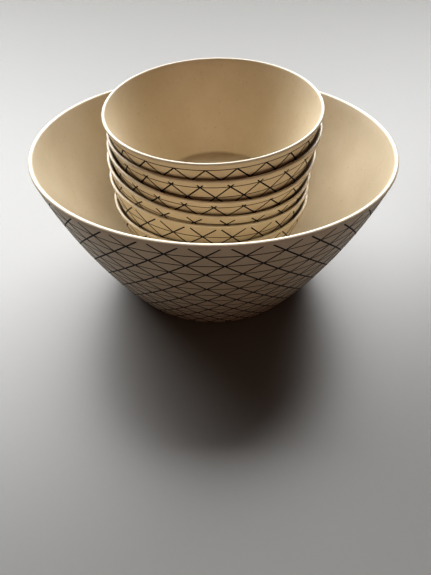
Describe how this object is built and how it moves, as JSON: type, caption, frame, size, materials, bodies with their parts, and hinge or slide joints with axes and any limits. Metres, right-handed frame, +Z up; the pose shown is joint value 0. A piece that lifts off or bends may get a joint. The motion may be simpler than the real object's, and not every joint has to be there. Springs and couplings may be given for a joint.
{
  "type": "rice bowl set",
  "caption": "Small round rice bowls nested in a leaning stack inside a large serving bowl, with flared walls and a printed triangle lattice outside.",
  "frame": {"origin": "middle of the serving bowl's foot, on the surface it stands on", "axes": "+Z up along the serving bowl's axis, +X to the user's right, +Y away from the user"},
  "size_m": [0.2542, 0.2542, 0.1467],
  "materials": {
    "bamboo_fibre": "satin beige moulded bamboo fibre with fine specks",
    "black_line": "matte black printed line",
    "brown_line": "matte brown printed line"
  },
  "bodies": {
    "serving_bowl": {"serving_bowl": "bamboo_fibre"},
    "rice_bowl_1": {"rice_bowl_1": "bamboo_fibre"},
    "rice_bowl_2": {"rice_bowl_2": "bamboo_fibre"},
    "rice_bowl_3": {"rice_bowl_3": "bamboo_fibre"},
    "rice_bowl_4": {"rice_bowl_4": "bamboo_fibre"},
    "rice_bowl_5": {"rice_bowl_5": "bamboo_fibre"},
    "rice_bowl_6": {"rice_bowl_6": "bamboo_fibre"}
  },
  "joints": [
    {"name": "rice_bowl_1_lift", "type": "slide", "parent": "serving_bowl", "child": "rice_bowl_1", "axis": [0, 0, 1], "range_m": [0, 0.13]},
    {"name": "rice_bowl_2_lift", "type": "slide", "parent": "rice_bowl_1", "child": "rice_bowl_2", "axis": [0, 0, 1], "range_m": [0, 0.085]},
    {"name": "rice_bowl_3_lift", "type": "slide", "parent": "rice_bowl_2", "child": "rice_bowl_3", "axis": [0, 0, 1], "range_m": [0, 0.085]},
    {"name": "rice_bowl_4_lift", "type": "slide", "parent": "rice_bowl_3", "child": "rice_bowl_4", "axis": [0, 0, 1], "range_m": [0, 0.085]},
    {"name": "rice_bowl_5_lift", "type": "slide", "parent": "rice_bowl_4", "child": "rice_bowl_5", "axis": [0, 0, 1], "range_m": [0, 0.085]},
    {"name": "rice_bowl_6_lift", "type": "slide", "parent": "rice_bowl_5", "child": "rice_bowl_6", "axis": [0, 0, 1], "range_m": [0, 0.085]}
  ]
}
